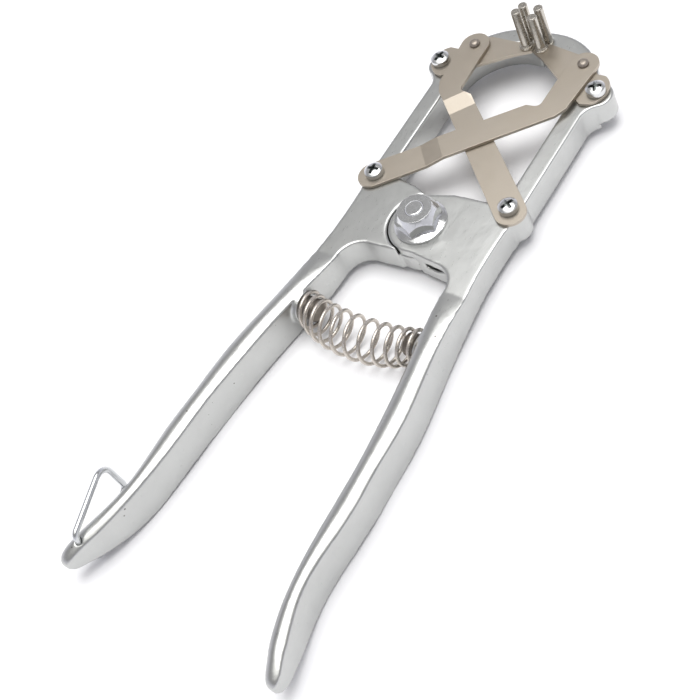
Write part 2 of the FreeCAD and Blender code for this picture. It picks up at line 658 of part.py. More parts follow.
hook, corner = size("clip_bend"), size("clip_corner")
clip_path = rounded_wire(clip_wire_path(), (hook, corner, hook, hook))
clip_section = Part.Wire([Part.Circle(clip_wire_path()[0], Vector(0, 0, 1), size("clip_wire")).toShape()])
wire_clip = doc.addObject("Part::Feature", "wire_clip")
wire_clip.Shape = clip_path.makePipeShell([clip_section], True, True)
keep("wire_clip", wire_clip)

# ---------------------------------------------------------------- checks and files

doc.recompute()
for thing in doc.Objects:
    if "Invalid" in thing.State or "Error" in thing.State:
        raise RuntimeError(f"{thing.Name} did not build: {thing.State}")
for node in nodes:
    if node.Shape.isNull() or not node.Shape.isValid() or not node.Shape.Solids:
        raise RuntimeError(f"{node.Label} has no sound solid")
os.makedirs("parts", exist_ok=True)
for node in nodes:
    node.Shape.exportStep(f"parts/{node.Label}.step")
    print(f"{node.Label}: {len(node.Shape.Solids)} solid, {node.Shape.Volume:.1f} mm3")
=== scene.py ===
import math

import bmesh
import bpy
from mathutils import Matrix, Vector


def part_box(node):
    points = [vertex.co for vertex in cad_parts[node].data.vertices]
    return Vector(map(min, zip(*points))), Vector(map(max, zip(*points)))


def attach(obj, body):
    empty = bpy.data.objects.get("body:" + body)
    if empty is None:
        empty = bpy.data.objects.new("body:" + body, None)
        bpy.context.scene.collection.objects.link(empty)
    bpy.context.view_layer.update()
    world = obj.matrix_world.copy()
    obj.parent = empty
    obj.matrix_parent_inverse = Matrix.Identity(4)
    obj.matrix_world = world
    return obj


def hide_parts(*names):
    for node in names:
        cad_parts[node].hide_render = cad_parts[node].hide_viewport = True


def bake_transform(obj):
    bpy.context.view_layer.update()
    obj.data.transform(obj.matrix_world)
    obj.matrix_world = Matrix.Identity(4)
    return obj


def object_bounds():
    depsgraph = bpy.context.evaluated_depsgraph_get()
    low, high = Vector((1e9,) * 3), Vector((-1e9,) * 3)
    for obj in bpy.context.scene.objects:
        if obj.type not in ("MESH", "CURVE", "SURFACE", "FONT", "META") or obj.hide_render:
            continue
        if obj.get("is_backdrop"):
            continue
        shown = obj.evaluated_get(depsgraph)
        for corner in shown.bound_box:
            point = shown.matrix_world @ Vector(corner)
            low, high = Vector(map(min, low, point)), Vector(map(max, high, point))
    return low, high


bl_info = {
    "name": "Ring Expander Pliers",
    "version": (1, 0, 0),
    "blender": (4, 5, 0),
    "location": "View3D > Sidebar > Pliers",
    "description": "Builds the looks of a pair of ring expander pliers on its packed frame",
    "category": "Object",
}

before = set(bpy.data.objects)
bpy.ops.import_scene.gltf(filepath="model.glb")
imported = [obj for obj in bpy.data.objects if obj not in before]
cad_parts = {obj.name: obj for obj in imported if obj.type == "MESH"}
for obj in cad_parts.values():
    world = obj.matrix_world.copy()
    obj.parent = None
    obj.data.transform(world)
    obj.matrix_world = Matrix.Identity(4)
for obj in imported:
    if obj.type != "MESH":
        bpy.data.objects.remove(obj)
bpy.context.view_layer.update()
MM = 0.001


def linear(code):
    """An sRGB hex colour as linear RGB."""
    channels = [int(code[i:i + 2], 16) / 255 for i in (0, 2, 4)]
    return tuple(c / 12.92 if c <= 0.04045 else ((c + 0.055) / 1.055) ** 2.4 for c in channels)


# ---------------------------------------------------------------- user settings


def length(name, description, millimetres):
    """A length property given in millimetres."""
    return bpy.props.FloatProperty(
        name=name, description=description, default=millimetres * MM, min=0, precision=5, unit="LENGTH")


def colour(name, description, code):
    """A colour property given as an sRGB hex value."""
    return bpy.props.FloatVectorProperty(
        name=name, description=description, default=linear(code), size=3, min=0, max=1, subtype="COLOR")


class PliersCastingSettings(bpy.types.PropertyGroup):
    skin: length("Skin cell", "Size of the cells that a casting's skin is rebuilt with", 0.38)
    softening: bpy.props.IntProperty(
        name="Edge softening", description="Rounds of smoothing that wear the castings' edges",
        default=5, min=0)
    alloy: colour("Aluminium", "Colour of the tumbled aluminium", "C5C6C4")


class PliersSheetSettings(bpy.types.PropertyGroup):
    edge: length("Edge break", "Width of the broken edges on the stamped sheet", 0.13)
    nickel: colour("Nickel", "Colour of the nickel plated sheet", "B3ABA0")


class PliersFastenerSettings(bpy.types.PropertyGroup):
    screw_radius: length("Screw head radius", "Radius of a pan head", 3.15)
    screw_height: length("Screw head height", "Height of a pan head", 2.6)
    screw_shank: length("Screw shank radius", "Radius of a screw under its head", 1.5)
    screw_length: length("Screw length", "Length of a screw under its head", 9.0)
    recess: length("Cross recess", "Length of the cross recess from arm to arm", 5.6)
    recess_width: length("Recess width", "Width of one arm of the cross recess", 1.45)
    recess_depth: length("Recess depth", "Depth of the cross recess below the crown", 1.7)
    rivet_radius: length("Rivet head radius", "Radius of a rivet's head", 1.8)
    rivet_height: length("Rivet head height", "Height of a rivet's head", 1.3)
    rivet_shank: length("Rivet shank radius", "Radius of a rivet under its head", 1.0)
    zinc: colour("Zinc", "Colour of the bright zinc plate", "DFE0E0")


class PliersSpringSettings(bpy.types.PropertyGroup):
    turns: bpy.props.FloatProperty(name="Turns", description="Turns of the coil", default=10.5, min=2)
    wire: length("Wire radius", "Radius of the spring's wire", 0.6)
    end_radius: length("End radius", "Mean radius of the end turns", 5.2)
    swell: length("Swell", "How much wider the middle turns are", 1.4)
    bow: length("Bow", "How far the middle hangs away from the pivot", 4.0)
    steel: colour("Wire colour", "Colour of the spring's wire", "CDC6BD")


class PliersStudioSettings(bpy.types.PropertyGroup):
    floor: colour("Floor", "Colour of the pale floor", "FAFAFC")
    key_power: bpy.props.FloatProperty(
        name="Key light", description="Power of the large soft light overhead",
        default=8.5, min=0, unit="POWER")


SETTINGS = {
    "pliers_castings": PliersCastingSettings,
    "pliers_sheet": PliersSheetSettings,
    "pliers_fasteners": PliersFastenerSettings,
    "pliers_spring": PliersSpringSettings,
    "pliers_studio": PliersStudioSettings,
}


# ---------------------------------------------------------------- node and mesh helpers


def add_node(tree, kind, sockets=None, **settings):
    """Adds a node, sets its properties, and sets or links its inputs by name or number.

    A node given as a value stands for its first output.
    """
    node = tree.nodes.new(kind)
    for name, value in settings.items():
        setattr(node, name, value)
    for socket, value in (sockets or {}).items():
        source = value.outputs[0] if isinstance(value, bpy.types.Node) else value
        if isinstance(source, bpy.types.NodeSocket):
            tree.links.new(source, node.inputs[socket])
        else:
            node.inputs[socket].default_value = source
    return node


def put(obj, material):
    """Gives an object one material."""
    obj.data.materials.clear()
    obj.data.materials.append(material)
    return obj


def show(name, mesh):
    """A new object for a mesh, at the origin."""
    made = bpy.data.objects.new(name, mesh)
    bpy.context.scene.collection.objects.link(made)
    return made


def merged_copy(node, name):
    """A separate object with a CAD node's mesh, its loose triangles joined up."""
    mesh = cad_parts[node].data.copy()
    work = bmesh.new()
    work.from_mesh(mesh)
    bmesh.ops.remove_doubles(work, verts=work.verts, dist=0.0005 * MM)
    work.to_mesh(mesh)
    work.free()
    if "custom_normal" in mesh.attributes:
        mesh.attributes.remove(mesh.attributes["custom_normal"])
    mesh.name = name
    return show(name, mesh)


def finished(obj):
    """Turns an object and its modifiers into a plain mesh under the same name."""
    bpy.context.view_layer.update()
    evaluated = obj.evaluated_get(bpy.context.evaluated_depsgraph_get())
    mesh = bpy.data.meshes.new_from_object(evaluated)
    name, old = obj.name, obj.data
    bpy.data.objects.remove(obj)
    if old is not None and old.users == 0:
        bpy.data.meshes.remove(old)
    if not mesh.polygons:
        raise RuntimeError(f"{name} came out empty")
    mesh.name = name
    return show(name, mesh)


def smooth_by_angle(obj, degrees):
    """Shades smooth except over edges sharper than an angle."""
    work = bmesh.new()
    work.from_mesh(obj.data)
    for edge in work.edges:
        edge.smooth = len(edge.link_faces) == 2 and edge.calc_face_angle(0) < math.radians(degrees)
    for face in work.faces:
        face.smooth = True
    work.to_mesh(obj.data)
    work.free()
    return obj


def broken_edges(node, name, width, sharp=25):
    """A copy of a CAD node with its sharp edges broken by a small round."""
    copy = merged_copy(node, name)
    one_plane = math.radians(0.3)
    work = bmesh.new()
    work.from_mesh(copy.data)
    bmesh.ops.dissolve_limit(work, angle_limit=one_plane, verts=work.verts, edges=work.edges)
    for face in work.faces:
        face.smooth = True
    work.to_mesh(copy.data)
    work.free()
    bevel = copy.modifiers.new("edges", "BEVEL")
    bevel.width = width
    bevel.segments = 2
    bevel.limit_method = "ANGLE"
    bevel.angle_limit = math.radians(sharp)
    bevel.use_clamp_overlap = True
    even = copy.modifiers.new("flat faces", "WEIGHTED_NORMAL")
    even.mode = "FACE_AREA"
    even.weight = 100
    made = finished(copy)
    # the large level faces stay truly flat, and a joggle's ramp half keeps its soft bends
    level, sloped, ramp_share, large = 0.999, 0.9, 0.55, (2 * MM) ** 2
    normals = [corner.vector.copy() for corner in made.data.corner_normals]
    for face in made.data.polygons:
        if abs(face.normal.z) < sloped or face.area < large:
            continue
        firm = 1 if abs(face.normal.z) > level else ramp_share
        for corner in face.loop_indices:
            normals[corner] = normals[corner].lerp(face.normal, firm).normalized()
    made.data.normals_split_custom_set([tuple(normal) for normal in normals])
    return made


def stands_for(piece, body, slot, *nodes):
    """Hands a finished piece to its body in place of CAD nodes."""
    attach(piece, body)
    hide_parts(*nodes)


def run_tree(name, tree, values, points=None):
    """Runs a node tree on a mesh of points and returns the result as a plain object."""
    mesh = bpy.data.meshes.new(name)
    mesh.from_pydata([tuple(p) for p in points or [(0, 0, 0)]], [], [])
    made = show(name, mesh)
    modifier = made.modifiers.new("build", "NODES")
    modifier.node_group = tree
    sockets = {s.name: s.identifier for s in tree.interface.items_tree if s.in_out == "INPUT"}
    for socket, value in values.items():
        modifier[sockets[socket]] = value
    return finished(made)


# ---------------------------------------------------------------- materials


# the inputs for the two colours of a colour Mix node, and its colour output
FROM, TO, MIXED = 6, 7, 2


def new_material(name):
    """A material with a cleared tree, and its object coordinates."""
    material = bpy.data.materials.new(name)
    material.use_nodes = True
    tree = material.node_tree
    tree.nodes.clear()
    where = add_node(tree, "ShaderNodeTexCoord").outputs["Object"]
    return material, tree, where


def opaque(tint, share=1):
    """A node colour from a tint, darkened to a share of it."""
    return tuple(c * share for c in tint) + (1,)


def per_metre(millimetres):
    """Noise scale for a pattern whose features are this far apart."""
    return 1000 / millimetres


def tumbled_aluminium(alloy):
    """Die cast aluminium, tumbled: satin, faintly mottled, with a few small pits."""
    material, tree, where = new_material("tumbled_cast_aluminium")
    # mottling some 7 mm across from uneven tumbling
    patches = add_node(tree, "ShaderNodeTexNoise", {"Vector": where, "Scale": per_metre(7), "Detail": 3})
    # fine linishing streaks along the length, 0.35 mm apart
    stretched = add_node(tree, "ShaderNodeMapping", {"Vector": where, "Scale": (1, 0.15, 1)})
    streaks = add_node(tree, "ShaderNodeTexNoise", {
        "Vector": stretched, "Scale": per_metre(0.35), "Detail": 4, "Roughness": 0.6})
    # tumbling grit of about 0.35 mm
    grit = add_node(tree, "ShaderNodeTexNoise", {"Vector": where, "Scale": per_metre(0.35), "Detail": 2})
    # gas pits up to 0.7 mm across, at most one in a 4 mm cell, with over half of the cells left out
    cells = add_node(tree, "ShaderNodeTexVoronoi", {"Vector": where, "Scale": per_metre(4)})
    chance = add_node(tree, "ShaderNodeSeparateColor", {"Color": cells.outputs["Color"]})
    pit_size = add_node(tree, "ShaderNodeMapRange", {
        "Value": chance, "From Min": 0.55, "From Max": 1.0, "To Min": 0.0, "To Max": 0.09})
    pit = add_node(tree, "ShaderNodeMath", {
        0: cells.outputs["Distance"], 1: pit_size}, operation="LESS_THAN")
    tone = add_node(tree, "ShaderNodeMix", {
        "Factor": patches.outputs["Fac"], FROM: opaque(alloy, 0.88), TO: opaque(alloy)}, data_type="RGBA")
    pitted = add_node(tree, "ShaderNodeMix", {
        "Factor": pit, FROM: tone.outputs[MIXED], TO: (0.16, 0.15, 0.14, 1)}, data_type="RGBA")
    rough = add_node(tree, "ShaderNodeMapRange", {
        "Value": streaks.outputs["Fac"], "From Min": 0.3, "From Max": 0.7, "To Min": 0.27, "To Max": 0.33})
    relief = add_node(tree, "ShaderNodeMath", {
        0: streaks.outputs["Fac"], 1: 0.6, 2: grit.outputs["Fac"]}, operation="MULTIPLY_ADD")
    bump = add_node(tree, "ShaderNodeBump", {"Height": relief, "Strength": 0.15, "Distance": 0.01 * MM})
    dents = add_node(tree, "ShaderNodeBump", {
        "Height": patches.outputs["Fac"], "Strength": 0.5, "Distance": 0.15 * MM, "Normal": bump})
    skin = add_node(tree, "ShaderNodeBsdfPrincipled", {
        "Base Color": pitted.outputs[MIXED], "Roughness": rough, "Metallic": 1.0, "Normal": dents})
    add_node(tree, "ShaderNodeOutputMaterial", {"Surface": skin})
    return material


def nickel_sheet(nickel, name, lean):
    """Stamped steel sheet under satin nickel: warm grey, with fine rolling lines one way."""
    material, tree, where = new_material(name)
    along = add_node(tree, "ShaderNodeMapping", {"Vector": where, "Rotation": (0, 0, -lean)})
    # rolling lines 0.08 mm apart, drawn 0.5 mm apart so that they show
    lined = add_node(tree, "ShaderNodeMapping", {"Vector": along, "Scale": (0.1, 1, 1)})
    lines = add_node(tree, "ShaderNodeTexNoise", {"Vector": lined, "Scale": per_metre(0.5), "Detail": 3})
    # faint stains some 9 mm across
    stains = add_node(tree, "ShaderNodeTexNoise", {"Vector": where, "Scale": per_metre(9), "Detail": 4})
    warm = tuple(c * k for c, k in zip(nickel, (0.95, 0.93, 0.89)))
    tone = add_node(tree, "ShaderNodeMix", {
        "Factor": stains.outputs["Fac"], FROM: opaque(warm), TO: opaque(nickel)}, data_type="RGBA")
    rough = add_node(tree, "ShaderNodeMapRange", {
        "Value": lines.outputs["Fac"], "From Min": 0.3, "From Max": 0.7, "To Min": 0.34, "To Max": 0.4})
    bump = add_node(tree, "ShaderNodeBump", {
        "Height": lines.outputs["Fac"], "Strength": 0.12, "Distance": 0.01 * MM})
    skin = add_node(tree, "ShaderNodeBsdfPrincipled", {
        "Base Color": tone.outputs[MIXED], "Roughness": rough, "Metallic": 1.0, "Normal": bump})
    add_node(tree, "ShaderNodeOutputMaterial", {"Surface": skin})
    return material


def plated_metal(name, tint, roughness, wear, speck, painted_recess_shade=0):
    """A plated or drawn metal: even colour with faint clouding and fine handling marks.

    The marks are speck millimetres apart. The last argument, from 0 to 1, darkens narrow hollows with
    painted shade.
    """
    material, tree, where = new_material(name)
    clouds = add_node(tree, "ShaderNodeTexNoise", {
        "Vector": where, "Scale": per_metre(speck * 5), "Detail": 3})
    marks = add_node(tree, "ShaderNodeTexNoise", {"Vector": where, "Scale": per_metre(speck), "Detail": 2})
    tone = add_node(tree, "ShaderNodeMix", {
        "Factor": clouds.outputs["Fac"], FROM: opaque(tint, 1 - wear), TO: opaque(tint)}, data_type="RGBA")
    colour_out = tone.outputs[MIXED]
    if painted_recess_shade:
        # painted shade: the colour darkens where the surface closes in on itself within 1.2 mm
        hollow = add_node(tree, "ShaderNodeAmbientOcclusion", {"Distance": 1.2 * MM})
        recess_shade_share = add_node(tree, "ShaderNodeMapRange", {
            "Value": hollow.outputs["AO"], "From Min": 0.45, "From Max": 0.9, "To Min": painted_recess_shade, "To Max": 0})
        recess_shaded = add_node(tree, "ShaderNodeMix", {
            "Factor": recess_shade_share, FROM: colour_out, TO: (0.13, 0.15, 0.14, 1)}, data_type="RGBA")
        colour_out = recess_shaded.outputs[MIXED]
    rough = add_node(tree, "ShaderNodeMapRange", {
        "Value": marks.outputs["Fac"], "From Min": 0.3, "From Max": 0.7,
        "To Min": roughness * 0.8, "To Max": roughness * 1.25})
    bump = add_node(tree, "ShaderNodeBump", {
        "Height": marks.outputs["Fac"], "Strength": 0.2, "Distance": 0.01 * MM})
    skin = add_node(tree, "ShaderNodeBsdfPrincipled", {
        "Base Color": colour_out, "Roughness": rough, "Metallic": 1.0, "Normal": bump})
    add_node(tree, "ShaderNodeOutputMaterial", {"Surface": skin})
    return material


def white_floor(tint):
    """A matt white studio sheet."""
    material, tree, where = new_material("white_studio_sheet")
    # a soft tooth some 20 mm across
    tooth = add_node(tree, "ShaderNodeTexNoise", {"Vector": where, "Scale": per_metre(20), "Detail": 2})
    rough = add_node(tree, "ShaderNodeMapRange", {
        "Value": tooth.outputs["Fac"], "To Min": 0.85, "To Max": 0.95})
    skin = add_node(tree, "ShaderNodeBsdfPrincipled", {
        "Base Color": opaque(tint), "Roughness": rough, "Specular IOR Level": 0.1})
    add_node(tree, "ShaderNodeOutputMaterial", {"Surface": skin})
    return material


# ---------------------------------------------------------------- node trees


def new_tree(name, inputs):
    """A geometry node tree with named inputs: (name, socket type, default)."""
    tree = bpy.data.node_groups.new(name, "GeometryNodeTree")
    tree.interface.new_socket("Geometry", in_out="INPUT", socket_type="NodeSocketGeometry")
    for label, kind, default in inputs:
        socket = tree.interface.new_socket(label, in_out="INPUT", socket_type="NodeSocket" + kind)
        if default is not None:
            socket.default_value = default
    tree.interface.new_socket("Geometry", in_out="OUTPUT", socket_type="NodeSocketGeometry")
    return tree, tree.nodes.new("NodeGroupInput").outputs


def close_tree(tree, geometry, material):
    """Ends a tree: real geometry, shaded smooth but for its sharp edges, with its material."""
    real = add_node(tree, "GeometryNodeRealizeInstances", {"Geometry": geometry})
    smooth = add_node(tree, "GeometryNodeSetShadeSmooth", {"Geometry": real, "Shade Smooth": True})
    angle = add_node(tree, "GeometryNodeInputMeshEdgeAngle").outputs["Unsigned Angle"]
    sharp = add_node(tree, "ShaderNodeMath", {0: angle, 1: math.radians(38)}, operation="GREATER_THAN")
    edged = add_node(tree, "GeometryNodeSetShadeSmooth", {
        "Geometry": smooth, "Selection": sharp, "Shade Smooth": False}, domain="EDGE")
    dressed = add_node(tree, "GeometryNodeSetMaterial", {"Geometry": edged, "Material": material})
    add_node(tree, "NodeGroupOutput", {"Geometry": dressed})


def domed_head(tree, given):
    """A unit cylinder shaped to a head, its top rings lowered towards the rim."""
    blank = add_node(tree, "GeometryNodeMeshCylinder", {
        "Vertices": 56, "Side Segments": 2, "Fill Segments": 9, "Radius": 1, "Depth": 1},
        fill_type="TRIANGLE_FAN")
    here = add_node(tree, "GeometryNodeInputPosition")
    x, y, z = add_node(tree, "ShaderNodeSeparateXYZ", {"Vector": here}).outputs
    y_square = add_node(tree, "ShaderNodeMath", {0: y, 1: y}, operation="MULTIPLY")
    square = add_node(tree, "ShaderNodeMath", {0: x, 1: x, 2: y_square}, operation="MULTIPLY_ADD")
    reach = add_node(tree, "ShaderNodeMath", {0: square}, operation="SQRT")
    curve = add_node(tree, "ShaderNodeMath", {0: reach, 1: 4}, operation="POWER")
    fall = add_node(tree, "ShaderNodeMath", {0: curve, 1: given["Dome"]}, operation="MULTIPLY")
    share = add_node(tree, "ShaderNodeMath", {0: 1, 1: fall}, operation="SUBTRACT")
    rise = add_node(tree, "ShaderNodeMath", {0: z, 1: 0.5}, operation="ADD")
    level = add_node(tree, "ShaderNodeMath", {0: rise, 1: share}, operation="MULTIPLY")
    # the rim leans in by 7 per cent towards the top
    upper = add_node(tree, "ShaderNodeMath", {0: level, 1: 3}, operation="POWER")
    inward = add_node(tree, "ShaderNodeMath", {0: upper, 1: 0.07}, operation="MULTIPLY")
    lean = add_node(tree, "ShaderNodeMath", {0: 1, 1: inward}, operation="SUBTRACT")
    wide = add_node(tree, "ShaderNodeMath", {0: lean, 1: given["Head radius"]}, operation="MULTIPLY")
    shaped = add_node(tree, "ShaderNodeCombineXYZ", {
        0: add_node(tree, "ShaderNodeMath", {0: x, 1: wide}, operation="MULTIPLY"),
        1: add_node(tree, "ShaderNodeMath", {0: y, 1: wide}, operation="MULTIPLY"),
        2: add_node(tree, "ShaderNodeMath", {0: level, 1: given["Head height"]}, operation="MULTIPLY")})
    return add_node(tree, "GeometryNodeSetPosition", {"Geometry": blank, "Position": shaped})


def cross_recess(tree, given, head):
    """A head with two crossed wedges cut into its crown, narrower at the bottom."""
    depth = add_node(tree, "ShaderNodeMath", {0: given["Recess depth"], 1: 2}, operation="MULTIPLY")
    cross = add_node(tree, "GeometryNodeMeshBoolean", operation="UNION", solver="EXACT")
    for first, second in (("Recess length", "Recess width"), ("Recess width", "Recess length")):
        size = add_node(tree, "ShaderNodeCombineXYZ", {0: given[first], 1: given[second], 2: depth})
        box = add_node(tree, "GeometryNodeMeshCube", {"Size": size})
        here = add_node(tree, "GeometryNodeInputPosition")
        height = add_node(tree, "ShaderNodeSeparateXYZ", {"Vector": here}).outputs[2]
        low = add_node(tree, "ShaderNodeMath", {0: height, 1: 0}, operation="LESS_THAN")
        # 112 per cent of full size above the crown, 45 per cent at the bottom
        loss = add_node(tree, "ShaderNodeMath", {0: low, 1: 0.67}, operation="MULTIPLY")
        narrow = add_node(tree, "ShaderNodeMath", {0: 1.12, 1: loss}, operation="SUBTRACT")
        taper = add_node(tree, "ShaderNodeCombineXYZ", {0: narrow, 1: narrow, 2: 1})
        spot = add_node(tree, "ShaderNodeVectorMath", {0: here, 1: taper}, operation="MULTIPLY")
        wedge = add_node(tree, "GeometryNodeSetPosition", {"Geometry": box, "Position": spot})
        tree.links.new(wedge.outputs[0], cross.inputs["Mesh 2"])
    crown = add_node(tree, "ShaderNodeCombineXYZ", {2: given["Head height"]})
    raised = add_node(tree, "GeometryNodeTransform", {"Geometry": cross, "Translation": crown})
    recessed = add_node(tree, "GeometryNodeMeshBoolean", {"Mesh 1": head},
                        operation="DIFFERENCE", solver="EXACT")
    tree.links.new(raised.outputs[0], recessed.inputs["Mesh 2"])
    return recessed


def headed_pins_tree():
    """Pins with low domed heads at the points given, with or without a cross recess."""
    tree, given = new_tree("headed_pins", [
        ("Head radius", "Float", 3 * MM), ("Head height", "Float", 2.2 * MM), ("Dome", "Float", 0.5),
        ("Shank radius", "Float", 1.5 * MM), ("Shank length", "Float", 9 * MM),
        ("Cross recess", "Bool", True), ("Recess length", "Float", 3.4 * MM),
        ("Recess width", "Float", 0.75 * MM), ("Recess depth", "Float", 1.3 * MM),
        ("Seed", "Int", 3), ("Material", "Material", None)])
    head = domed_head(tree, given)
    chosen = add_node(tree, "GeometryNodeSwitch", {
        "Switch": given["Cross recess"], "False": head, "True": cross_recess(tree, given, head)},
        input_type="GEOMETRY")
    shank = add_node(tree, "GeometryNodeMeshCylinder", {
        "Vertices": 32, "Radius": given["Shank radius"], "Depth": given["Shank length"]})
    half_down = add_node(tree, "ShaderNodeMath", {0: given["Shank length"], 1: -0.5}, operation="MULTIPLY")
    hang = add_node(tree, "ShaderNodeCombineXYZ", {2: half_down})
    hung = add_node(tree, "GeometryNodeTransform", {"Geometry": shank, "Translation": hang})
    pin = add_node(tree, "GeometryNodeJoinGeometry")
    for piece in (chosen, hung):
        tree.links.new(piece.outputs[0], pin.inputs[0])
    turn = add_node(tree, "FunctionNodeRandomValue", {
        0: (0, 0, 0), 1: (0, 0, math.tau), "Seed": given["Seed"]}, data_type="FLOAT_VECTOR")
    placed = add_node(tree, "GeometryNodeInstanceOnPoints", {
        "Points": given["Geometry"], "Instance": pin, "Rotation": turn})
    close_tree(tree, placed, given["Material"])
    return tree


def barrel_spring_tree():
    """A barrel coil along X whose middle bows towards -Y."""
    tree, given = new_tree("barrel_spring", [
        ("Turns", "Float", 10.5), ("Length", "Float", 42 * MM), ("End radius", "Float", 5.2 * MM),
        ("Swell", "Float", 1.4 * MM), ("Bow", "Float", 4 * MM), ("Wire radius", "Float", 0.6 * MM),
        ("End crowding", "Float", 0.3), ("Centre", "Vector", None), ("Material", "Material", None)])
    line = add_node(tree, "GeometryNodeCurvePrimitiveLine", {"End": (1, 0, 0)})
    # 32 points to a turn
    steps = add_node(tree, "ShaderNodeMath", {0: given["Turns"], 1: 32}, operation="MULTIPLY")
    even = add_node(tree, "GeometryNodeResampleCurve", {"Curve": line, "Count": steps})
    along = add_node(tree, "GeometryNodeSplineParameter").outputs["Factor"]
    turned = add_node(tree, "ShaderNodeMath", {0: along, 1: given["Turns"]}, operation="MULTIPLY")
    angle = add_node(tree, "ShaderNodeMath", {0: turned, 1: math.tau}, operation="MULTIPLY")
    half_wave = add_node(tree, "ShaderNodeMath", {0: along, 1: math.pi}, operation="MULTIPLY")
    middle = add_node(tree, "ShaderNodeMath", {0: half_wave}, operation="SINE")
    radius = add_node(tree, "ShaderNodeMath", {
        0: middle, 1: given["Swell"], 2: given["End radius"]}, operation="MULTIPLY_ADD")
    # the end turns lie closer together than the middle ones
    full_wave = add_node(tree, "ShaderNodeMath", {0: along, 1: math.tau}, operation="MULTIPLY")
    wave = add_node(tree, "ShaderNodeMath", {0: full_wave}, operation="SINE")
    most = add_node(tree, "ShaderNodeMath", {0: given["End crowding"], 1: math.tau}, operation="DIVIDE")
    crowd = add_node(tree, "ShaderNodeMath", {0: wave, 1: most}, operation="MULTIPLY")
    crowded = add_node(tree, "ShaderNodeMath", {0: along, 1: crowd}, operation="SUBTRACT")
    share = add_node(tree, "ShaderNodeMath", {0: crowded, 1: 0.5}, operation="SUBTRACT")
    drop = add_node(tree, "ShaderNodeMath", {0: middle, 1: given["Bow"]}, operation="MULTIPLY")
    cosine = add_node(tree, "ShaderNodeMath", {0: angle}, operation="COSINE")
    sine = add_node(tree, "ShaderNodeMath", {0: angle}, operation="SINE")
    across = add_node(tree, "ShaderNodeMath", {0: radius, 1: cosine}, operation="MULTIPLY")
    spot = add_node(tree, "ShaderNodeCombineXYZ", {
        0: add_node(tree, "ShaderNodeMath", {0: share, 1: given["Length"]}, operation="MULTIPLY"),
        1: add_node(tree, "ShaderNodeMath", {0: across, 1: drop}, operation="SUBTRACT"),
        2: add_node(tree, "ShaderNodeMath", {0: radius, 1: sine}, operation="MULTIPLY")})
    coil = add_node(tree, "GeometryNodeSetPosition", {
        "Geometry": even, "Position": spot, "Offset": given["Centre"]})
    section = add_node(tree, "GeometryNodeCurvePrimitiveCircle", {
        "Resolution": 14, "Radius": given["Wire radius"]})
    solid = add_node(tree, "GeometryNodeCurveToMesh", {
        "Curve": coil, "Profile Curve": section, "Fill Caps": True})
    close_tree(tree, solid, given["Material"])
    return tree


# ---------------------------------------------------------------- operators


class PLIERS_OT_castings(bpy.types.Operator):
    """Rebuild both castings with worn edges in tumbled aluminium"""

    bl_idname = "pliers.castings"
    bl_label = "Castings"

    def execute(self, context):
        made = context.scene.pliers_castings
        metal = tumbled_aluminium(made.alloy)
        for side in ("left", "right"):
            piece = merged_copy(f"{side}_casting", f"{side}_cast_half")
            skin = piece.modifiers.new("skin", "REMESH")
            skin.mode = "VOXEL"
            skin.voxel_size = made.skin
            skin.use_smooth_shade = True
            wear = piece.modifiers.new("wear", "SMOOTH")
            wear.factor = 0.5
            wear.iterations = made.softening
            piece = put(finished(piece), metal)
            for face in piece.data.polygons:
                face.use_smooth = True
            stands_for(piece, f"{side}_side", "cast_alloy", f"{side}_casting")
        return {"FINISHED"}


class PLIERS_OT_sheet_parts(bpy.types.Operator):
    """Make the levers and jaw plates from nickel plated sheet"""

    bl_idname = "pliers.sheet_parts"
    bl_label = "Levers and jaw plates"

    def execute(self, context):
        made = context.scene.pliers_sheet
        # the rolling lines run along each lever's straight arm, and a little askew on the plates
        lever_lean = math.atan2(40, 43.6)
        plate_lean = 0.3
        for node, body, angle in (
                ("left_lever", "left_link", math.pi - lever_lean),
                ("right_lever", "right_link", lever_lean),
                ("left_jaw_plate", "left_jaw", plate_lean),
                ("right_jaw_plate", "right_jaw", -plate_lean)):
            piece = broken_edges(node, f"{node}_sheet", made.edge)
            put(piece, nickel_sheet(made.nickel, f"satin_nickel_{node}", angle))
            stands_for(piece, body, "nickel_sheet", node)
        return {"FINISHED"}


class PLIERS_OT_pivot(bpy.types.Operator):
    """Make the main pivot's bolt and nut in bright zinc plated steel"""

    bl_idname = "pliers.pivot"
    bl_label = "Main pivot"

    def execute(self, context):
        # bright zinc plate: cold, smooth and nearly a mirror
        zinc = plated_metal(
            "bright_zinc_pivot", context.scene.pliers_fasteners.zinc, roughness=0.16, wear=0.08, speck=0.6)
        for node in ("pivot_bolt", "pivot_nut"):
            piece = put(broken_edges(node, f"{node}_turned", 0.22 * MM, sharp=20), zinc)
            stands_for(piece, "left_side", "plated_hardware", node)
        return {"FINISHED"}


def head_points(nodes, height):
    """The seat points of heads that end at their CAD nodes' tops."""
    points = []
    for node in nodes:
        low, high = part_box(node)
        points.append(((low.x + high.x) / 2, (low.y + high.y) / 2, high.z - height))
    return points


